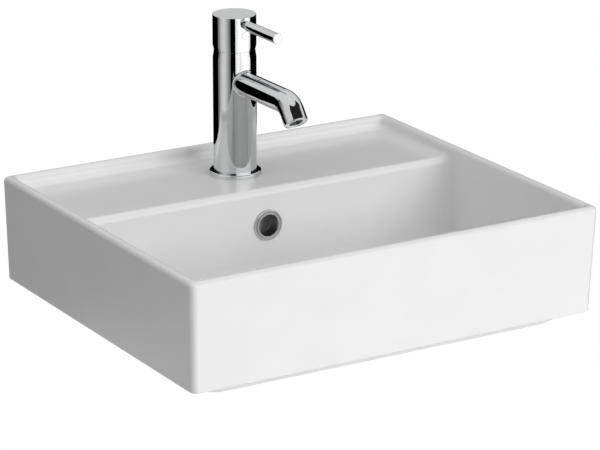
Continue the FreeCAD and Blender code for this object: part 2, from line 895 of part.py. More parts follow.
def aerator_housing():
    """Screwed chrome ring in the spout's mouth."""
    inner = insert_radius
    outline = [(aerator_lip_radius, 0.4),
               (aerator_lip_radius + 0.4, 0),
               (aerator_radius - 0.3, 0),
               (aerator_radius, 0.3),
               (aerator_radius, aerator_length),
               (inner, aerator_length),
               (inner, aerator_lip_thickness),
               (aerator_lip_radius, aerator_lip_thickness)]
    return at_mouth(turned(outline), aerator_recess)


def aerator_insert():
    """Plastic grid that breaks up the stream."""
    disc = post(insert_radius - aerator_clearance, insert_length, V(0, 0, 0))
    holes = []
    reach = aerator_lip_radius - insert_hole_radius
    steps = int(2 * reach / insert_hole_pitch) + 1
    for i in range(-steps, steps + 1):
        for j in range(-steps, steps + 1):
            x = insert_hole_pitch * (i + j / 2)
            y = insert_hole_pitch * j * math.sqrt(3) / 2
            if math.hypot(x, y) < reach:
                holes.append(post(insert_hole_radius, insert_length, V(x, y, 0)))
    return at_mouth(disc.cut(Part.makeCompound(holes)), aerator_recess + aerator_lip_thickness)


def aerator_washer():
    """Flat rubber ring between the aerator and the spout's shoulder."""
    ring = collar(aerator_radius, aerator_washer_bore, aerator_washer_thickness, V(0, 0, 0))
    return at_mouth(ring, aerator_recess + aerator_length)


# ---- tap: cartridge ----
def port_posts(radius, low, height):
    """Round posts on the two inlets and the outlet."""
    posts = [post(radius, height, V(0, outlet_port_back, low))]
    for at in side_points(inlet_port_side, -inlet_port_front):
        posts.append(post(radius, height, at + V(0, 0, low)))
    return posts


def cartridge_base():
    """Plastic plate with three ports and two locating pegs."""
    plate = post(cartridge_radius, plate_thickness, V(0, 0, seat_height))
    for at in side_points(peg_side, peg_back):
        plate = plate.fuse(post(peg_radius, peg_length, at + V(0, 0, seat_height - peg_length)))
    seal_inner = outlet_port_radius + seal_gap
    for groove in port_posts(seal_inner + seal_width, seat_height, seal_thickness):
        plate = plate.cut(groove)
    for tube in port_posts(seal_inner, seat_height, seal_thickness):
        plate = plate.fuse(tube)
    for port in port_posts(inlet_passage_radius, seat_height, plate_thickness):
        plate = plate.cut(port)
    return at_tap(plate.removeSplitter())


def cartridge_seals():
    """Three alike rubber rings round the ports."""
    seal_inner = outlet_port_radius + seal_gap
    outers = port_posts(seal_inner + seal_width, seat_height, seal_thickness)
    inners = port_posts(seal_inner, seat_height, seal_thickness)
    rings = [outer.cut(inner) for outer, inner in zip(outers, inners)]
    return at_tap(Part.makeCompound(rings))


def cartridge_fixed_disc():
    """Polished ceramic disc with the three ports."""
    disc = post(fixed_disc_radius, fixed_disc_thickness, V(0, 0, plate_top))
    for port in port_posts(inlet_passage_radius, plate_top, fixed_disc_thickness):
        disc = disc.cut(port)
    return at_tap(disc)


def cartridge_moving_disc():
    """Polished ceramic disc with the mixing pocket in its underside."""
    disc = post(moving_disc_radius, moving_disc_thickness, V(0, 0, moving_disc_base))
    pocket = post(mixing_pocket_radius, mixing_pocket_depth, V(0, mixing_pocket_back, moving_disc_base))
    return at_tap(disc.cut(pocket))


def cartridge_slider():
    """Plastic piece on the moving disc, with flats for its guide and a socket for the stem's ball."""
    disc = post(moving_disc_radius, slider_thickness, V(0, 0, moving_disc_top))
    guide = block(-slider_flat, slider_flat, -moving_disc_radius, moving_disc_radius,
                  moving_disc_top, slider_top)
    socket = post(ball_radius + ball_clearance, slider_thickness, V(0, 0, moving_disc_top))
    return at_tap(disc.common(guide).cut(socket))


def cartridge_housing():
    """Plastic shell with a neck."""
    low = plate_top
    outline = [(housing_bore_radius, low),
               (cartridge_radius, low),
               (cartridge_radius, housing_shoulder),
               (housing_neck_radius, housing_shoulder),
               (housing_neck_radius, housing_top),
               (housing_neck_bore, housing_top),
               (housing_neck_bore, housing_roof_base),
               (housing_bore_radius, housing_roof_base)]
    return at_tap(turned(outline))


def cartridge_rotor():
    """Turning piece that guides the slider and carries the stem's pivot."""
    flange = post(housing_bore_radius - rotor_clearance, rotor_flange_thickness, V(0, 0, rotor_flange_base))
    hub_top = housing_top - 0.5
    hub = post(housing_neck_bore - rotor_clearance, hub_top - rotor_flange_base, V(0, 0, rotor_flange_base))
    rotor = flange.fuse(hub)
    rib_inner = slider_flat + rotor_guide_clearance
    for side in (-1, 1):
        x0 = min(side * rib_inner, side * (rib_inner + rotor_rib_width))
        rotor = rotor.fuse(block(x0, x0 + rotor_rib_width, -rotor_rib_length / 2, rotor_rib_length / 2,
                                 rotor_flange_base - rotor_rib_height, rotor_flange_base))
    lift = math.radians(lift_range_deg)
    reach_up = stem_width / 2 / math.cos(lift) + (hub_top - pivot_height) * math.tan(lift)
    reach_down = stem_width / 2 * math.cos(lift) + stem_below_pivot * math.sin(lift)
    slot_x = stem_width / 2 + stem_slot_clearance
    slot = block(-slot_x, slot_x, -reach_down - slot_margin, reach_up + slot_margin, rotor_flange_base, hub_top)
    pivot = post(pivot_pin_radius, 2 * pivot_pin_half_length,
                 V(-pivot_pin_half_length, 0, pivot_height), V(1, 0, 0))
    return at_tap(rotor.removeSplitter().cut(slot).cut(pivot))


def cartridge_pivot_pin():
    """Steel pin across the rotor."""
    return at_tap(post(pivot_pin_radius, 2 * pivot_pin_half_length,
                       V(-pivot_pin_half_length, 0, pivot_height), V(1, 0, 0)))


def cartridge_stem():
    """Square brass stem that the handle moves, with a ball at its foot."""
    half = stem_width / 2
    low = pivot_height - stem_below_pivot
    bar = block(-half, half, -half, half, low, stem_top)
    neck = post(stem_neck_radius, low - ball_height, V(0, 0, ball_height))
    ball = Part.makeSphere(ball_radius, V(0, 0, ball_height))
    pivot = post(pivot_pin_radius + pivot_running_clearance, stem_width, V(-half, 0, pivot_height), V(1, 0, 0))
    return at_tap(bar.fuse([neck, ball]).cut(pivot))


def cartridge_nut():
    """Brass ring nut with spanner slots, down on the cartridge's shoulder."""
    nut = collar(ring_nut_radius, ring_nut_bore, ring_nut_height, V(0, 0, housing_shoulder))
    top = housing_shoulder + ring_nut_height
    for angle in (0, 90):
        slot = block(-ring_nut_radius, ring_nut_radius, -ring_nut_slot_width / 2, ring_nut_slot_width / 2,
                     top - ring_nut_slot_depth, top)
        slot.rotate(V(0, 0, 0), V(0, 0, 1), angle)
        nut = nut.cut(slot)
    return at_tap(nut)


# ---- tap: handle ----
def handle_cap():
    """Hollow chrome cap with a boss that grips the stem."""
    mouth = (cap_radius - cap_mouth_depth, cap_base)
    mouth_top = (cap_radius, cap_base + cap_mouth_height)
    edge = (cap_radius, cap_top - cap_edge_radius)
    outline = [(0, cap_roof),
               (cap_bore_radius, cap_roof),
               (cap_bore_radius, cap_base),
               mouth,
               mouth_top,
               edge,
               arc_to(edge, (cap_radius - cap_edge_radius, cap_top), -0.29 * cap_edge_radius),
               (0, cap_top)]
    cap = turned(outline).fuse(post(cap_boss_radius, cap_boss_length, V(0, 0, cap_roof - cap_boss_length)))
    half = stem_width / 2 + stem_socket_clearance
    front = V(0, -1, 0)
    socket_top = stem_top + stem_socket_extra
    socket = block(-half, half, -half, half, cap_roof - cap_boss_length, socket_top)
    thread = post(lever_thread_radius, lever_thread_depth + lever_hole_depth,
                  V(0, -cap_radius + lever_thread_depth + lever_hole_depth, lever_height), front)
    countersink = post(lever_hole_radius, lever_hole_depth + 1,
                       V(0, -cap_radius + lever_hole_depth, lever_height), front)
    screw_hole = post(set_screw_radius, cap_boss_radius, V(0, 0, button_height), front)
    access = post(button_radius + button_clearance, button_length + 1,
                  V(0, -cap_radius + button_length, button_height), front)
    for cut in (socket, thread, countersink, screw_hole, access):
        cap = cap.cut(cut)
    return at_tap(cap.removeSplitter())


def lever_pin():
    """Chrome rod with a necked, threaded root."""
    root = -cap_radius + lever_thread_depth + lever_hole_depth
    neck_start = -cap_radius + lever_hole_depth
    neck_end = -cap_radius - lever_neck_length
    body_start = neck_end - lever_shoulder_length
    tip = -cap_radius - lever_reach
    outline = [(0, -root),
               (lever_thread_radius, -root),
               (lever_thread_radius, -neck_start),
               (lever_neck_radius, -neck_start),
               (lever_neck_radius, -neck_end),
               arc_to((lever_neck_radius, -neck_end), (lever_radius, -body_start), -0.5),
               (lever_radius, -tip - lever_edge_radius),
               arc_to((lever_radius, -tip - lever_edge_radius), (lever_radius - lever_edge_radius, -tip), -0.14),
               (0, -tip)]
    pin = turned(outline)
    pin.rotate(V(0, 0, 0), V(1, 0, 0), 90)
    return at_tap(pin.translated(V(0, 0, lever_height)))


def index_button():
    """Plain round plug over the set screw."""
    front = V(0, -1, 0)
    plug = post(button_radius, button_length + button_proud,
                V(0, -cap_radius + button_length, button_height), front)
    face_y = -cap_radius - button_proud
    plug = rounded(plug, button_proud, lambda p: near(p.y, face_y))
    return at_tap(plug)


def handle_set_screw():
    """Headless screw through the boss onto the stem."""
    front = V(0, -1, 0)
    start = V(0, -stem_width / 2, button_height)
    screw = post(set_screw_radius, set_screw_length, start, front)
    socket = hexagon(set_screw_socket_radius * math.sqrt(3), set_screw_socket_depth, V(0, 0, 0))
    socket.rotate(V(0, 0, 0), V(1, 0, 0), 90)
    mouth_y = -stem_width / 2 - set_screw_length + set_screw_socket_depth
    return at_tap(screw.cut(socket.translated(V(0, mouth_y, button_height))))


# ---- tap: fixing under the ledge ----
def horseshoe(thickness, low, hole_radius):
    """A plate round the stud, open at the back for the supply pipes."""
    plate = post(horseshoe_radius, thickness, V(0, 0, low))
    slot = block(-horseshoe_slot_width / 2, horseshoe_slot_width / 2, -horseshoe_slot_front, horseshoe_radius,
                 low, low + thickness)
    return plate.cut(slot).cut(post(hole_radius, thickness, V(0, -stud_front, low)))


def horseshoe_gasket():
    """Rubber plate against the underside of the ledge."""
    low = -ledge_thickness - horseshoe_gasket_thickness
    return at_tap(horseshoe(horseshoe_gasket_thickness, low, stud_radius + stud_hole_clearance))


def horseshoe_washer():
    """Steel plate under the rubber one."""
    low = -ledge_thickness - horseshoe_gasket_thickness - horseshoe_washer_thickness
    return at_tap(horseshoe(horseshoe_washer_thickness, low, stud_radius + stud_hole_clearance))


def fixing_stud():
    """Threaded rod from the column down through the ledge."""
    top = column_bore_height + stud_in_column
    low = -ledge_thickness - stud_below_ledge
    return at_tap(post(stud_radius, top - low, V(0, -stud_front, low)))


def stud_nut():
    """Long hexagon nut on the stud."""
    low = -ledge_thickness - horseshoe_gasket_thickness - horseshoe_washer_thickness - stud_nut_height
    at = V(0, -stud_front, low)
    nut = hexagon(stud_nut_across_flats, stud_nut_height, at)
    return at_tap(nut.cut(post(stud_radius, stud_nut_height, at)))


pieces = [basin_ceramic, overflow_trim,
          waste_body, waste_flange_seal, waste_lower_gasket, waste_slip_washer, waste_back_nut,
          plug_cap, plug_seal, plug_stem, click_housing, click_spring,
          tap_base_ring, tap_base_gasket, tap_body, spout,
          aerator_housing, aerator_insert, aerator_washer,
          cartridge_base, cartridge_seals, cartridge_fixed_disc, cartridge_moving_disc, cartridge_slider,
          cartridge_housing, cartridge_rotor, cartridge_pivot_pin, cartridge_stem, cartridge_nut,
          handle_cap, lever_pin, index_button, handle_set_screw,
          horseshoe_gasket, horseshoe_washer, fixing_stud, stud_nut]

os.makedirs("parts", exist_ok=True)
for piece in pieces:
    save(piece.__name__, piece())
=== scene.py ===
import bpy
import math
from mathutils import Matrix, Vector
from mathutils.geometry import delaunay_2d_cdt, tessellate_polygon


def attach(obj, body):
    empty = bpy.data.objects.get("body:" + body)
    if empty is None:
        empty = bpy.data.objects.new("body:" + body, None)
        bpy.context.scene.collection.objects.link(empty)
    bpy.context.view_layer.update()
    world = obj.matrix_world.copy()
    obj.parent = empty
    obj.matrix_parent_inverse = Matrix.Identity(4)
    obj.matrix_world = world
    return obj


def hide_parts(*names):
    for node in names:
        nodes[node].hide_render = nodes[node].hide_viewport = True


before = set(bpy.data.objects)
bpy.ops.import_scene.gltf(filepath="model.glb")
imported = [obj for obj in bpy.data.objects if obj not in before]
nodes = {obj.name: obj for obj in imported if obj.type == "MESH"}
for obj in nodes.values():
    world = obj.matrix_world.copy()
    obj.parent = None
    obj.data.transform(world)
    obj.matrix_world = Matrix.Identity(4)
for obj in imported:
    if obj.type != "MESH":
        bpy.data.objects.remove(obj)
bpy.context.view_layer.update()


# ---- Photographer's stand ----
# The photo was taken with a long lens from the front left corner, a little above the rim,
# on a plain white sweep.
camera_place = Vector((-1.50086, -2.70564, 0.96894))
camera_way = Vector((0.4891, 0.8162, -0.3075))
camera_data = bpy.data.cameras.new("camera")
camera_data.sensor_width = 36.0
camera_data.lens = 187.4
camera_data.clip_end = 50.0
camera = bpy.data.objects.new("camera", camera_data)
camera_turned = camera_way.to_track_quat("-Z", "Y").to_matrix().to_4x4()
camera.matrix_world = Matrix.Translation(camera_place) @ camera_turned
bpy.context.scene.collection.objects.link(camera)
bpy.context.scene.camera = camera
bpy.context.scene.view_settings.view_transform = "Standard"


# ---- Studio ----
# White painted floor far below the hung basin and white surroundings. Large soft lamps in
# front, low in front and overhead light the glaze.
def linear(hex_colour):
    """An sRGB hex colour as linear red, green, blue and alpha."""
    channels = [int(hex_colour[i:i + 2], 16) / 255 for i in (1, 3, 5)]
    return [c / 12.92 if c <= 0.04045 else ((c + 0.055) / 1.055) ** 2.4 for c in channels] + [1.0]


def add_node(tree, kind, settings=None, inputs=None, links=None):
    """Adds a shader node with its settings, its socket values and what feeds its sockets."""
    node = tree.nodes.new(kind)
    for name, value in (settings or {}).items():
        setattr(node, name, value)
    for name, value in (inputs or {}).items():
        node.inputs[name].default_value = value
    for name, output in (links or {}).items():
        tree.links.new(output, node.inputs[name])
    return node


def seen_directly(tree):
    """A light path node, and a factor of 1 for what the camera and mirrors see."""
    rays = add_node(tree, "ShaderNodeLightPath")
    direct = add_node(tree, "ShaderNodeMath", {"operation": "MAXIMUM"},
                      links={0: rays.outputs["Is Camera Ray"], 1: rays.outputs["Is Glossy Ray"]})
    return rays, direct.outputs[0]


world = bpy.data.worlds.new("white_studio")
world.use_nodes = True
bpy.context.scene.world = world
tree = world.node_tree
tree.nodes.clear()
rays, direct = seen_directly(tree)
seen = add_node(tree, "ShaderNodeMath", {"operation": "MAXIMUM"},
                links={0: direct, 1: rays.outputs["Is Transmission Ray"]})
fill = add_node(tree, "ShaderNodeBackground", inputs={"Color": linear("#FFFFFF"), "Strength": 0.425})
white = add_node(tree, "ShaderNodeBackground", inputs={"Color": linear("#FFFFFF"), "Strength": 1.0})
mixed = add_node(tree, "ShaderNodeMixShader", links={0: seen.outputs[0], 1: fill.outputs[0], 2: white.outputs[0]})
add_node(tree, "ShaderNodeOutputWorld", links={"Surface": mixed.outputs[0]})


def new_material(name):
    """An empty material, and its tree and output node."""
    material = bpy.data.materials.new(name)
    material.use_nodes = True
    tree = material.node_tree
    tree.nodes.clear()
    output = tree.nodes.new("ShaderNodeOutputMaterial")
    return material, tree, output


def add_object(name, mesh, material):
    """Puts a mesh into the scene with a material."""
    obj = bpy.data.objects.new(name, mesh)
    mesh.materials.append(material)
    bpy.context.scene.collection.objects.link(obj)
    return obj


floor_z = -2.60
floor_half = 8.0
sweep, tree, output = new_material("white_painted_floor")
rays, direct = seen_directly(tree)
paint = add_node(tree, "ShaderNodeBsdfDiffuse", inputs={"Color": linear("#B6B6B6")})
bright = add_node(tree, "ShaderNodeEmission", inputs={"Color": linear("#FFFFFF"), "Strength": 1.0})
mixed = add_node(tree, "ShaderNodeMixShader", links={0: direct, 1: paint.outputs[0], 2: bright.outputs[0]})
tree.links.new(mixed.outputs[0], output.inputs["Surface"])
mesh = bpy.data.meshes.new("floor")
mesh.from_pydata([(-floor_half, -floor_half, floor_z), (floor_half, -floor_half, floor_z),
                  (floor_half, floor_half, floor_z), (-floor_half, floor_half, floor_z)], [], [(0, 1, 2, 3)])
add_object("floor", mesh, sweep)


def softbox(name, place, target, width, height, watts):
    """A rectangular soft lamp that mirrors don't see."""
    lamp_data = bpy.data.lights.new(name, "AREA")
    lamp_data.shape = "RECTANGLE"
    lamp_data.size = width
    lamp_data.size_y = height
    lamp_data.energy = watts
    lamp = bpy.data.objects.new(name, lamp_data)
    way = Vector(target) - Vector(place)
    lamp.matrix_world = Matrix.Translation(place) @ way.to_track_quat("-Z", "Y").to_matrix().to_4x4()
    lamp.visible_glossy = False
    bpy.context.scene.collection.objects.link(lamp)


softbox("front_softbox", (1.5, -5.7, 2.25), (0.0, -0.2, 0.05), 4.0, 2.4, 179.0)
softbox("low_softbox", (0.5, -1.75, -1.75), (0.0, -0.35, -0.06), 1.2, 0.5, 21.0)
softbox("top_softbox", (-0.85, -0.7, 1.95), (0.0, -0.2, 0.0), 2.6, 2.6, 15.0)


# ---- Reflection boards ----
# Curved boards round the tap that only mirror reflections see: black ones behind and at the
# sides, a grey fading one at the left, a white one at the right and a pale canopy above.
tap_foot = Vector((0.0, -0.0735, 0.0455))
tap_middle = tap_foot + Vector((0, 0, 0.10))
strip_degrees = 3
camera_turn = math.degrees(math.atan2(camera_place.y - tap_foot.y, camera_place.x - tap_foot.x))
board_paint, tree, output = new_material("lit_board")
shade = add_node(tree, "ShaderNodeAttribute", {"attribute_name": "glow"})
glow = add_node(tree, "ShaderNodeEmission", inputs={"Color": linear("#FFFFFF")},
                links={"Strength": shade.outputs["Fac"]})
tree.links.new(glow.outputs[0], output.inputs["Surface"])


def studio_board(name, stops, low, high, distance=0.75):
    """A curved upright board round the tap. Its brightness goes from stop to stop, each given as
    degrees to the right of the camera and strength; low and high are degrees above the tap's middle."""
    points = []
    glows = []
    for (first, start), (last, end) in zip(stops, stops[1:]):
        steps = max(1, int(abs(last - first) / strip_degrees))
        for i in range(steps + 1):
            angle = math.radians(camera_turn + first + (last - first) * i / steps)
            foot = tap_middle + Vector((math.cos(angle), math.sin(angle), 0)) * distance
            for tilt in (low, high):
                points.append(foot + Vector((0, 0, distance * math.tan(math.radians(tilt)))))
                glows.append(start + (end - start) * i / steps)
    faces = [(i, i + 2, i + 3, i + 1) for i in range(0, len(points) - 2, 2)]
    board = bpy.data.meshes.new(name)
    board.from_pydata(points, [], faces)
    board.attributes.new("glow", "FLOAT", "POINT").data.foreach_set("value", glows)
    obj = add_object(name, board, board_paint)
    obj.visible_camera = False
    obj.visible_diffuse = False
    obj.visible_transmission = False
    obj.visible_shadow = False


# The stops follow how chrome is usually lit: a soft fall-off at the left, a crisp edge at the right.
studio_board("back_board_left", [(-180, 0.0), (-97, 0.0)], -32, 15)
studio_board("grey_board_left", [(-97, 0.02), (-92, 0.23), (-85, 0.31), (-80, 0.47), (-73, 0.65), (-60, 0.78),
                                 (-50, 0.73), (-44, 0.61), (-38, 0.49), (-33, 0.36), (-27, 0.26), (-22, 0.16),
                                 (-20, 0.0)], -45, 26)
studio_board("black_gap_front", [(-20, 0.0), (5, 0.0)], -45, 26)
studio_board("white_board_right", [(5, 0.98), (9, 1.06), (14, 1.11), (20, 1.25), (28, 1.40), (70, 1.40), (80, 1.2),
                                   (89, 1.0)], -45, 26)
studio_board("back_board_right", [(89, 0.0), (180, 0.0)], -32, 15)
studio_board("dark_ceiling_board", [(-25, 0.02), (108, 0.02)], 32, 58)
studio_board("grey_canopy", [(-180, 0.67), (-168, 0.67), (-145, 0.76), (145, 0.76), (168, 0.67), (180, 0.67)],
             10, 40, 0.9)
studio_board("pale_canopy", [(-180, 0.80), (180, 0.80)], 40, 84, 0.9)


# ---- Basin ----
# Vitreous china cast in one piece and fired with a white glaze. The glaze gives a clear hard
# gloss over a soft white body, with the faint unevenness of a poured coat.
def dress(material, *names):
    """Gives CAD nodes a material."""
    for name in names:
        nodes[name].data.materials.clear()
        nodes[name].data.materials.append(material)


def surface_noise(tree, scale, detail):
    """Soft noise in space, with its scale in waves per metre."""
    place = add_node(tree, "ShaderNodeNewGeometry")
    noise = add_node(tree, "ShaderNodeTexNoise", inputs={"Scale": scale, "Detail": detail},
                     links={"Vector": place.outputs["Position"]})
    return noise.outputs["Fac"]


def two_tone(tree, noise, dark, light):
    """A colour that goes from dark to light with the noise."""
    tone = add_node(tree, "ShaderNodeValToRGB", links={"Fac": noise})
    tone.color_ramp.elements[0].position = 0.3
    tone.color_ramp.elements[0].color = linear(dark)
    tone.color_ramp.elements[1].position = 0.7
    tone.color_ramp.elements[1].color = linear(light)
    return tone.outputs["Color"]


glazed, tree, output = new_material("glazed_vitreous_china")
ripple = add_node(tree, "ShaderNodeBump", inputs={"Strength": 0.05, "Distance": 0.0006},
                  links={"Height": surface_noise(tree, 90.0, 1.0)})
glaze = add_node(tree, "ShaderNodeBsdfPrincipled", inputs={"Roughness": 0.24, "IOR": 1.5},
                 links={"Base Color": two_tone(tree, surface_noise(tree, 18.0, 2.0), "#E2E2E2", "#E5E5E5"),
                        "Normal": ripple.outputs["Normal"]})
tree.links.new(glaze.outputs[0], output.inputs["Surface"])
dress(glazed, "basin_ceramic")


# ---- Chrome plate ----
# Brass castings and turned pieces, polished and plated with bright chromium: a hard,
# slightly cool mirror with the last faint haze of the polishing mop.
chrome, tree, output = new_material("polished_chrome_plate")
haze = surface_noise(tree, 60.0, 3.0)
polish = add_node(tree, "ShaderNodeMapRange", inputs={"To Min": 0.02, "To Max": 0.06}, links={"Value": haze})
plate = add_node(tree, "ShaderNodeBsdfPrincipled", inputs={"Metallic": 1.0},
                 links={"Base Color": two_tone(tree, haze, "#DEDFE0", "#E1E2E3"),
                        "Roughness": polish.outputs["Result"]})
tree.links.new(plate.outputs[0], output.inputs["Surface"])
dress(chrome, "waste_body")


def outline_points(corners, closed=True):
    """An outline of (radius, height, rounding) corners in millimetres as points with surface normals.
    The material lies to the left of the way. A crisp corner comes out twice, once for each side."""
    count = len(corners)
    found = []
    for i, (radius, height, rounding) in enumerate(corners):
        here = Vector((radius, height))
        way_in = (here - Vector(corners[i - 1][:2])).normalized()
        way_out = (Vector(corners[(i + 1) % count][:2]) - here).normalized()
        normal_in = Vector((way_in.y, -way_in.x))
        normal_out = Vector((way_out.y, -way_out.x))
        turn = math.atan2(way_in.x * way_out.y - way_in.y * way_out.x, way_in.dot(way_out))
        if not closed and i == 0:
            found.append((here, normal_out))
        elif not closed and i == count - 1:
            found.append((here, normal_in))
        elif rounding == 0:
            found += [(here, normal_in), (here, normal_out)]
        else:
            side = 1 if turn > 0 else -1
            start = here - way_in * rounding * math.tan(abs(turn) / 2)
            centre = start - normal_in * rounding * side
            steps = max(3, math.ceil(math.degrees(abs(turn)) / 8))
            for k in range(steps + 1):
                normal = Matrix.Rotation(turn * k / steps, 2) @ normal_in
                found.append((centre + normal * rounding * side, normal))
    if closed:
        found.append(found[0])
    return found


def skin_faces(rings):
    """Faces of (point, normal) corners between rings that have equal numbers of points."""
    faces = []
    for low, high in zip(rings, rings[1:]):
        if (low[0][0] - high[0][0]).length < 1e-8 and (low[1][0] - high[1][0]).length < 1e-8:
            continue
        for j in range(len(low)):
            k = (j + 1) % len(low)
            faces.append([low[j], low[k], high[k], high[j]])
    return faces


def unit_circle(count):
    """Points of a circle of radius 1, counter-clockwise."""
    return [(math.cos(2 * math.pi * j / count), math.sin(2 * math.pi * j / count)) for j in range(count)]


def turned_faces(points, sides=128):
    """Faces turned about the Z axis from outline points, in metres."""
    rings = []
    for point, normal in points:
        ring = []
        for c, s in unit_circle(sides):
            across = Vector((c, s, 0))
            ring.append(((across * point.x + Vector((0, 0, point.y))) / 1000,
                         across * normal.x + Vector((0, 0, normal.y))))
        rings.append(ring)
    return skin_faces(rings)


def smooth_piece(name, faces, place, node, body, material=chrome):
    """Makes a mesh from faces of (point, normal) corners, and lets it stand for the CAD node.
    Corners at one place share a vertex, and each keeps the normal it was given."""
    vertices = []
    index = {}
    loops = []
    normals = []
    spin = place.to_3x3()
    for face in faces:
        loop = []
        for point, normal in face:
            key = tuple(round(v, 7) for v in point)
            if key not in index:
                index[key] = len(vertices)
                vertices.append(place @ point)
            if index[key] not in [i for i, n in loop]:
                loop.append((index[key], (spin @ normal).normalized()))
        if len(loop) > 2:
            loops.append([i for i, n in loop])
            normals += [n for i, n in loop]
    mesh = bpy.data.meshes.new(name)
    mesh.from_pydata(vertices, [], loops)
    mesh.polygons.foreach_set("use_smooth", [True] * len(mesh.polygons))
    mesh.normals_split_custom_set(normals)
    obj = add_object(name, mesh, material)
    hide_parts(node)
    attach(obj, body)


# ---- Base ring and column ----
# Turned from brass bar and plated. The ring has a flat top and a fine gap round the column's
# foot; the column is bored from below for the supply hoses and from above for the cartridge.
at_tap = Matrix.Translation(tap_foot)
ring_outline = [(18.6, 0, 0.2), (19.6, 0, 0), (19.6, 0.8, 0), (23.6, 0.8, 0), (23.6, 0, 0), (26.8, 0, 0.3),
                (26.8, 4.6, 1.4), (22.25, 4.6, 0.15), (22.25, 1.2, 0), (18.6, 1.2, 0.2)]
smooth_piece("base_ring", turned_faces(outline_points(ring_outline)), at_tap, "tap_base_ring", "basin")

column_radius = 22.0
column_foot = 1.2
taper_start = 122.5
taper_end = 130.5
cartridge_seat = 97.5
bore_radius = 18.5
bore_top = 62.0
water_ways = [(-8.0, 6.0, 4.5, 12.0), (8.0, 6.0, 4.5, 12.0), (0.0, -10.0, 4.0, 15.0)]
column_outline = [(bore_radius, bore_top, 0), (bore_radius, column_foot, 0.2), (column_radius, column_foot, 0.3),
                  (column_radius, taper_start, 3.0), (20.6, taper_end, 0.06), (19.0, taper_end, 0.2),
                  (19.0, 124.4, 0), (17.5, 124.4, 0), (17.5, cartridge_seat, 0.3), (0, cartridge_seat, 0)]
# The taper is shaded as a part of the straight side, as it looks from a step away.
points = [(point, Vector((1, 0)) if point.y > taper_start - 0.5 and normal.x > 0.9 else normal)
          for point, normal in outline_points(column_outline, closed=False)]
faces = turned_faces(points)
roof_rings = [[(bore_radius * c, bore_radius * s) for c, s in unit_circle(128)]]
# Each water way is given as x, y, radius and depth.
for x, y, radius, depth in water_ways:
    circle = unit_circle(32)
    roof_rings.append([(x + radius * c, y + radius * s) for c, s in circle])
    walls = [[(Vector((x + radius * c, y + radius * s, z)) / 1000, Vector((-c, -s, 0))) for c, s in circle]
             for z in (bore_top, bore_top + depth)]
    faces += [list(reversed(face)) for face in skin_faces(walls)]
    faces.append([(Vector((x + radius * c, y + radius * s, bore_top + depth)) / 1000, Vector((0, 0, -1)))
                  for c, s in reversed(circle)])
flat = [Vector((x, y, bore_top)) / 1000 for ring in roof_rings for x, y in ring]
for corners in tessellate_polygon([[Vector((x, y, 0)) for x, y in ring] for ring in roof_rings]):
    a, b, c = (flat[i] for i in corners)
    corners = (c, b, a) if (b - a).cross(c - a).z > 0 else (a, b, c)
    faces.append([(point, Vector((0, 0, -1))) for point in corners])
smooth_piece("column", faces, at_tap, "tap_body", "basin")


# ---- Spout ----
# Brass tube, bent, brazed to the column with a ground fillet and plated. Its mouth has a
# thin rounded lip and a screwed socket for the aerator.
spout_radius = 12.1
spout_bore = 9.5
socket_radius = 10.75
socket_depth = 10.0
lip_radius = 0.6
fillet_radius = 2.6
edge_radius = 0.25
spout_z = 99.0
bend_start = 97.5
bend_radius = 20.0
bend_angle = math.radians(52.0)
end_length = 12.0
fillet_steps = 8
bend_steps = 18
bore_steps = 8
lip_steps = 6
edge_steps = 3
circle = unit_circle(96)


def spout_ring(radius, bend, beyond, tilt, inward=False):
    """A ring round the spout's middle line: that far round the bend and beyond it. Its normals
    lean from square to the tube by the tilt, towards the mouth."""
    way = Vector((0, -math.cos(bend), -math.sin(bend)))
    up = Vector((0, -math.sin(bend), math.cos(bend)))
    middle = Vector((0, -bend_start - bend_radius * math.sin(bend), spout_z - bend_radius * (1 - math.cos(bend))))
    middle += way * beyond
    ring = []
    for c, s in circle:
        out = Vector((1, 0, 0)) * c + up * s
        normal = out * (-math.cos(tilt) if inward else math.cos(tilt)) + way * math.sin(tilt)
        ring.append(((middle + out * radius) / 1000, normal))
    return ring


rings = []
for k in range(fillet_steps + 1):
    ring = []
    for c, s in circle:
        x = (spout_radius + fillet_radius) * c
        y = -math.sqrt((column_radius + fillet_radius) ** 2 - x * x)
        ball = Vector((x, y, spout_z + (spout_radius + fillet_radius) * s))
        to_column = Vector((-ball.x, -ball.y, 0)).normalized()
        to_tube = Vector((-c, 0, -s))
        between = to_column.slerp(to_tube, k / fillet_steps)
        ring.append(((ball + between * fillet_radius) / 1000, -between))
    rings.append(ring)
for k in range(bend_steps + 1):
    rings.append(spout_ring(spout_radius, bend_angle * k / bend_steps, 0, 0))
for k in range(lip_steps + 1):
    tilt = math.radians(90 * k / lip_steps)
    rings.append(spout_ring(spout_radius - lip_radius * (1 - math.cos(tilt)), bend_angle,
                            end_length - lip_radius * (1 - math.sin(tilt)), tilt))
for k in range(edge_steps + 1):
    tilt = math.radians(90 - 90 * k / edge_steps)
    rings.append(spout_ring(socket_radius + edge_radius * (1 - math.cos(tilt)), bend_angle,
                            end_length - edge_radius * (1 - math.sin(tilt)), tilt, True))
rings.append(spout_ring(socket_radius, bend_angle, end_length - socket_depth, 0, True))
rings.append(spout_ring(socket_radius, bend_angle, end_length - socket_depth, math.radians(90)))
rings.append(spout_ring(spout_bore, bend_angle, end_length - socket_depth, math.radians(90)))
for k in range(bore_steps, -1, -1):
    rings.append(spout_ring(spout_bore, bend_angle * k / bore_steps, 0, 0, True))
for inward in (True, False):
    ring = []
    for c, s in circle:
        y = -math.sqrt(column_radius ** 2 - (spout_bore * c) ** 2)
        point = Vector((spout_bore * c, y, spout_z + spout_bore * s))
        ring.append((point / 1000, Vector((-c, 0, -s)) if inward else -Vector((point.x, point.y, 0)).normalized()))
    rings.append(ring)
rings.append([(point, -Vector((point.x, point.y, 0)).normalized()) for point, normal in rings[0]])
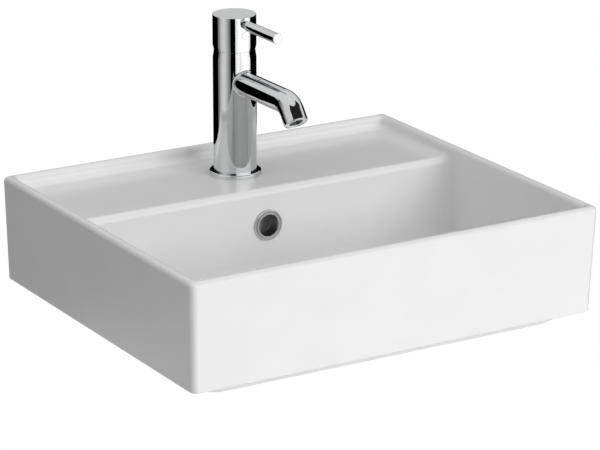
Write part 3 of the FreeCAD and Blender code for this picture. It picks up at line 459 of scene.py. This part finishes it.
smooth_piece("spout_arm", skin_faces(rings), at_tap, "spout", "basin")


# ---- Aerator ----
# Turned brass ring, plated with chromium and screwed into the mouth. It holds a moulded grey
# grid that is set back in it.
way = Vector((0, -math.cos(bend_angle), -math.sin(bend_angle)))
set_back = 0.5
mouth = Vector((0, -bend_start - bend_radius * math.sin(bend_angle),
                spout_z - bend_radius * (1 - math.cos(bend_angle))))
mouth += way * (end_length - set_back)
aerator_turned = Vector((0, 0, 1)).rotation_difference(-way).to_matrix().to_4x4()
at_mouth = at_tap @ Matrix.Translation(mouth / 1000) @ aerator_turned
aerator_outline = [(6.8, 0, 0.4), (10.7, 0, 0.3), (10.7, 8.0, 0.2), (9.2, 8.0, 0), (9.2, 2.4, 0), (6.8, 2.4, 0.1)]
smooth_piece("aerator_ring", turned_faces(outline_points(aerator_outline), 96), at_mouth, "aerator_housing", "basin")


# ---- Handle cap ----
# Hollow turned cap with a boss inside that grips the cartridge's stem. Two holes in front take
# the lever and the plug over the set screw.
cap_radius = column_radius
cap_low = 135.2
cap_high = 166.4
wall_high = cap_high - 2.0
lever_height = 159.0
plug_height = 148.2
cap_outline = [(cap_radius, wall_high, 0), (cap_radius, cap_high, 0.6), (0, cap_high, 0)]
faces = turned_faces(outline_points(cap_outline, closed=False))
under_outline = [(0, 134.8, 0), (9.0, 134.8, 0.3), (9.0, 150.8, 0.3), (20.6, 150.8, 0.5), (20.6, 130.8, 0.06),
                 (21.1, 130.8, 0.06), (cap_radius, cap_low, 0)]
# The taper is shaded as a part of the straight side here too.
points = [(point, Vector((1, 0)) if point.x > 21.05 and normal.x > 0.9 else normal)
          for point, normal in outline_points(under_outline, closed=False)]
faces += turned_faces(points)
sides = 128
patch = 8
patch_rows = 15
hole_sides = 48
hole_margin = 0.7
front = -math.pi / 2


def on_cap(u, v):
    """A point and its normal on the cap's side. It is given in millimetres round the cap, to the right
    of the front, and a height."""
    turn = front + u / cap_radius
    out = Vector((math.cos(turn), math.sin(turn), 0))
    return (out * cap_radius + Vector((0, 0, v))) / 1000, out


step = 2 * math.pi * cap_radius / sides
for j in range(patch, sides - patch):
    faces.append([on_cap(j * step, cap_low), on_cap((j + 1) * step, cap_low),
                  on_cap((j + 1) * step, wall_high), on_cap(j * step, wall_high)])
# Each hole is given as height, radius and depth. The front patch of the wall is cut round them.
holes = [(lever_height, 4.75, 2.5), (plug_height, 4.05, 4.5)]
points = []
edges = []
border = [(i * step, cap_low) for i in range(-patch, patch + 1)]
border += [(i * step, wall_high) for i in range(patch, -patch - 1, -1)]
for i, point in enumerate(border):
    points.append(Vector(point))
    edges.append((i, (i + 1) % len(border)))
for height, radius, depth in holes:
    start = len(points)
    for j, (c, s) in enumerate(unit_circle(hole_sides)):
        points.append(Vector((cap_radius * math.asin(radius * c / cap_radius), height + radius * s)))
        edges.append((start + j, start + (j + 1) % hole_sides))
    walls = []
    for y in (None, -cap_radius + depth):
        ring = []
        for c, s in unit_circle(hole_sides):
            x = radius * c
            deep = -math.sqrt(cap_radius ** 2 - x * x) if y is None else y
            ring.append((Vector((x, deep, height + radius * s)) / 1000, Vector((-c, 0, -s))))
        walls.append(ring)
    faces += skin_faces(walls)
    faces.append([(point, Vector((0, -1, 0))) for point, normal in walls[1]])
for i in range(-patch + 1, patch):
    for k in range(1, patch_rows):
        point = Vector((i * step, cap_low + (wall_high - cap_low) * k / patch_rows))
        if all((point - Vector((0, height))).length > radius + hole_margin for height, radius, depth in holes):
            points.append(point)
found, found_edges, triangles = delaunay_2d_cdt(points, edges, [], 0, 1e-5)[:3]
for triangle in triangles:
    corners = [found[i] for i in triangle]
    middle = sum(corners, Vector((0, 0))) / 3
    if any((middle - Vector((0, height))).length < radius - 0.05 for height, radius, depth in holes):
        continue
    if (corners[1] - corners[0]).cross(corners[2] - corners[0]) < 0:
        corners.reverse()
    faces.append([on_cap(*corner) for corner in corners])
smooth_piece("cap", faces, at_tap, "handle_cap", "handle")


# ---- Lever and index plug ----
# Solid turned lever with a necked root that screws into the cap, and a small plain plug
# pressed over the set screw.
lever_root = 11.5
lever_end = 85.4
lever_radius = 5.2
lever_outline = [(0, lever_root, 0), (3.0, lever_root, 0.3), (3.0, 19.5, 0), (4.0, 19.5, 0.2), (4.0, 26.5, 1.2),
                 (lever_radius, 29.0, 1.6), (lever_radius, lever_end, 0.5), (0, lever_end, 0)]
forward = Matrix.Rotation(math.radians(90), 4, "X")
smooth_piece("lever", turned_faces(outline_points(lever_outline, closed=False), 96),
             at_tap @ Matrix.Translation((0, 0, lever_height / 1000)) @ forward, "lever_pin", "handle")
plug_radius = 4.0
plug_face = 22.25
plug_outline = [(0, 17.5, 0), (plug_radius, 17.5, 0.2), (plug_radius, plug_face, 0.25), (0, plug_face, 0)]
smooth_piece("index_plug", turned_faces(outline_points(plug_outline, closed=False), 64),
             at_tap @ Matrix.Translation((0, 0, plug_height / 1000)) @ forward, "index_button", "handle")


# ---- Overflow trim and waste plug ----
# Pressed brass ring with a grooved, stepped face and a sleeve that clips into the overflow hole,
# and the turned domed cap of the push-to-open waste. Both are plated. The trim's colour turns a
# darker grey inside the sleeve, as painted shade in the hole.
ledge_depth = 137.5
ledge_height = 45.5
wall_lean = 2.0
wall_drop = 93.5
overflow_height = 8.0
overflow_y = -ledge_depth - wall_lean * (ledge_height - overflow_height) / wall_drop
square_to_wall = Matrix.Rotation(math.pi / 2 - math.atan2(wall_lean, wall_drop), 4, "X")
at_overflow = Matrix.Translation((0, overflow_y / 1000, overflow_height / 1000)) @ square_to_wall
sleeve_radius = 12.8
sleeve_bore = 11.2
sleeve_end = -12.0
trim_radius = 16.0
painted_shade_from = -0.1392
painted_shade_to = -0.1382
trim_outline = [(sleeve_bore, sleeve_end, 0.2), (sleeve_radius, sleeve_end, 0.2), (sleeve_radius, 0, 0),
                (trim_radius, 0, 0), (trim_radius, 1.8, 0.9), (14.2, 1.8, 0.1), (14.0, 1.2, 0.1), (13.6, 1.2, 0.1),
                (13.2, 2.9, 0.4), (sleeve_bore, 2.9, 0.6)]
trim, tree, output = new_material("plated_trim_with_painted_shade_inside")
place = add_node(tree, "ShaderNodeNewGeometry")
parts = add_node(tree, "ShaderNodeSeparateXYZ", links={"Vector": place.outputs["Position"]})
inside = add_node(tree, "ShaderNodeMapRange", inputs={"From Min": painted_shade_from, "From Max": painted_shade_to},
                  links={"Value": parts.outputs["Y"]})
# Painted shade: past a set depth into the sleeve the trim's colour turns dark grey.
tone = add_node(tree, "ShaderNodeMix", {"data_type": "RGBA"}, {"A": linear("#DEDFE0"), "B": linear("#6A6A6B")},
                {"Factor": inside.outputs["Result"]})
polish = add_node(tree, "ShaderNodeMapRange", inputs={"To Min": 0.03, "To Max": 0.07},
                  links={"Value": surface_noise(tree, 60.0, 3.0)})
plate = add_node(tree, "ShaderNodeBsdfPrincipled", inputs={"Metallic": 1.0},
                 links={"Base Color": tone.outputs[2], "Roughness": polish.outputs["Result"]})
tree.links.new(plate.outputs[0], output.inputs["Surface"])
smooth_piece("overflow_ring", turned_faces(outline_points(trim_outline), 96), at_overflow, "overflow_trim",
             "basin", trim)
at_waste = Matrix.Translation((0, -0.203, -0.0492))
plug_cap_radius = 21.4
plug_cap_top = 3.5
plug_cap_outline = [(0, -1.3, 0), (plug_cap_radius, -1.3, 0.2), (plug_cap_radius, 0.5, 0.6),
                    (10.6, plug_cap_top, 70.0), (0, plug_cap_top, 0)]
smooth_piece("waste_plug", turned_faces(outline_points(plug_cap_outline, closed=False), 96), at_waste,
             "plug_cap", "plug")


# ---- Brass, steel and ceramic working parts ----
# Turned and milled pieces that stay unplated: brass with fine lathe marks, zinc-grey steel, and
# white sintered alumina lapped to a satin.
def turned_metal(name, dark, light, roughness_low, roughness_high):
    """Bare metal with fine rings left by the cutting tool."""
    material, tree, output = new_material(name)
    place = add_node(tree, "ShaderNodeNewGeometry")
    squeeze = add_node(tree, "ShaderNodeMapping", inputs={"Scale": (300.0, 300.0, 2500.0)},
                       links={"Vector": place.outputs["Position"]})
    marks = add_node(tree, "ShaderNodeTexNoise", inputs={"Scale": 1.0, "Detail": 2.0},
                     links={"Vector": squeeze.outputs["Vector"]})
    rough = add_node(tree, "ShaderNodeMapRange", inputs={"To Min": roughness_low, "To Max": roughness_high},
                     links={"Value": marks.outputs["Fac"]})
    grooves = add_node(tree, "ShaderNodeBump", inputs={"Strength": 0.15, "Distance": 0.00005},
                       links={"Height": marks.outputs["Fac"]})
    metal = add_node(tree, "ShaderNodeBsdfPrincipled", inputs={"Metallic": 1.0},
                     links={"Base Color": two_tone(tree, marks.outputs["Fac"], dark, light),
                            "Roughness": rough.outputs["Result"], "Normal": grooves.outputs["Normal"]})
    tree.links.new(metal.outputs[0], output.inputs["Surface"])
    return material


dress(turned_metal("machined_brass", "#C9A75C", "#DDBE78", 0.22, 0.34),
      "cartridge_stem", "cartridge_nut", "stud_nut", "waste_back_nut", "plug_stem", "click_housing")
dress(turned_metal("zinc_plated_steel", "#A4A7A9", "#B9BBBC", 0.28, 0.42),
      "cartridge_pivot_pin", "handle_set_screw", "fixing_stud", "horseshoe_washer", "click_spring")


def moulded(name, dark, light, roughness, grain, bump):
    """Moulded or pressed material with a fine even grain, given in metres across a grain."""
    material, tree, output = new_material(name)
    grains = surface_noise(tree, 1 / grain, 3.0)
    texture = add_node(tree, "ShaderNodeBump", inputs={"Strength": 0.2, "Distance": bump}, links={"Height": grains})
    body = add_node(tree, "ShaderNodeBsdfPrincipled", inputs={"Roughness": roughness},
                    links={"Base Color": two_tone(tree, grains, dark, light), "Normal": texture.outputs["Normal"]})
    tree.links.new(body.outputs[0], output.inputs["Surface"])
    return material


dress(moulded("lapped_alumina", "#EAE6DC", "#F1EEE6", 0.25, 0.0006, 0.00001),
      "cartridge_fixed_disc", "cartridge_moving_disc")


# ---- Rubber and plastic parts ----
# Black moulded seals, white acetal cartridge shells and the grey grid of the aerator. They come
# from polished moulds, so they have only a fine even grain.
dress(moulded("moulded_black_rubber", "#1B1B1B", "#242424", 0.6, 0.0012, 0.00003),
      "tap_base_gasket", "aerator_washer", "cartridge_seals", "horseshoe_gasket", "waste_flange_seal",
      "waste_lower_gasket", "plug_seal")
dress(moulded("moulded_white_acetal", "#DFDFDA", "#E7E7E3", 0.4, 0.0015, 0.00002),
      "cartridge_base", "cartridge_housing", "cartridge_slider", "cartridge_rotor", "waste_slip_washer")
dress(moulded("moulded_grey_acetal", "#3F4143", "#4B4D4F", 0.45, 0.0015, 0.00002), "aerator_insert")
